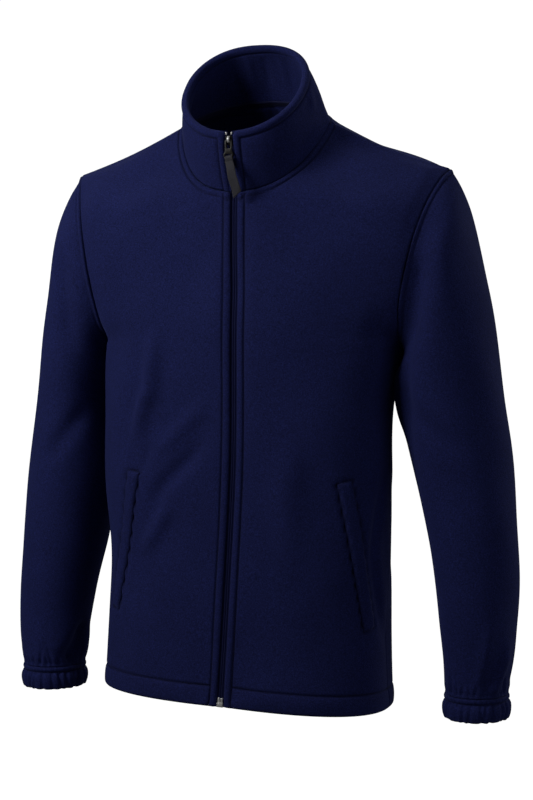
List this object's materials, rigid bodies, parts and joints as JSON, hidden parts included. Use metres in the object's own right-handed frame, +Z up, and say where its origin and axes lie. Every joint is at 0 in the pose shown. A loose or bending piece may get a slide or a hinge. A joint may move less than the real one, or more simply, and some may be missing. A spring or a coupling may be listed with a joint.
{
  "type": "fleece zip jacket",
  "caption": "Fleece jacket with a stand collar, full-length zip, set-in sleeves with elasticated cuffs, slanted welt pockets and a turned hem, in its worn hollow form.",
  "frame": {"origin": "midway between the two points where the shoulder seams meet the neck seam, where the wearer's shoulders hold the jacket up", "axes": "+Z up, -Y to the wearer's front, +X to the wearer's left"},
  "size_m": [0.6339, 0.2284, 0.7888],
  "materials": {
    "fleece": "matt brushed fleece with a fine short nap",
    "fleece_inside": "matt brushed fleece, inner side",
    "woven_tape": "matt woven tape",
    "zip_tape": "woven polyester tape with a moulded coil",
    "ribbon": "woven grosgrain ribbon",
    "black_metal": "black enamelled metal",
    "silver_metal": "plain bright metal"
  },
  "bodies": {
    "jacket": {"back": "fleece", "collar_inner": "fleece_inside", "collar_outer": "fleece", "cuff_left": "fleece", "cuff_right": "fleece", "front_left": "fleece", "front_right": "fleece", "hem_back": "fleece", "hem_left": "fleece", "hem_right": "fleece", "neck_tape": "woven_tape", "pocket_welt_left": "fleece", "pocket_welt_right": "fleece", "sleeve_left": "fleece", "sleeve_right": "fleece", "slider_bridge": "black_metal", "top_stop_left": "silver_metal", "top_stop_right": "silver_metal", "zip_box": "silver_metal", "zip_slider": "black_metal", "zip_tape_left": "zip_tape", "zip_tape_right": "zip_tape"},
    "pull": {"pull_tab": "black_metal", "pull_ribbon": "ribbon"}
  },
  "joints": [
    {"name": "pull_hinge", "type": "hinge", "parent": "jacket", "child": "pull", "pos_m": [0, -0.10583, -0.03239], "axis": [-1, 0, 0], "range_deg": [0, 140]}
  ]
}
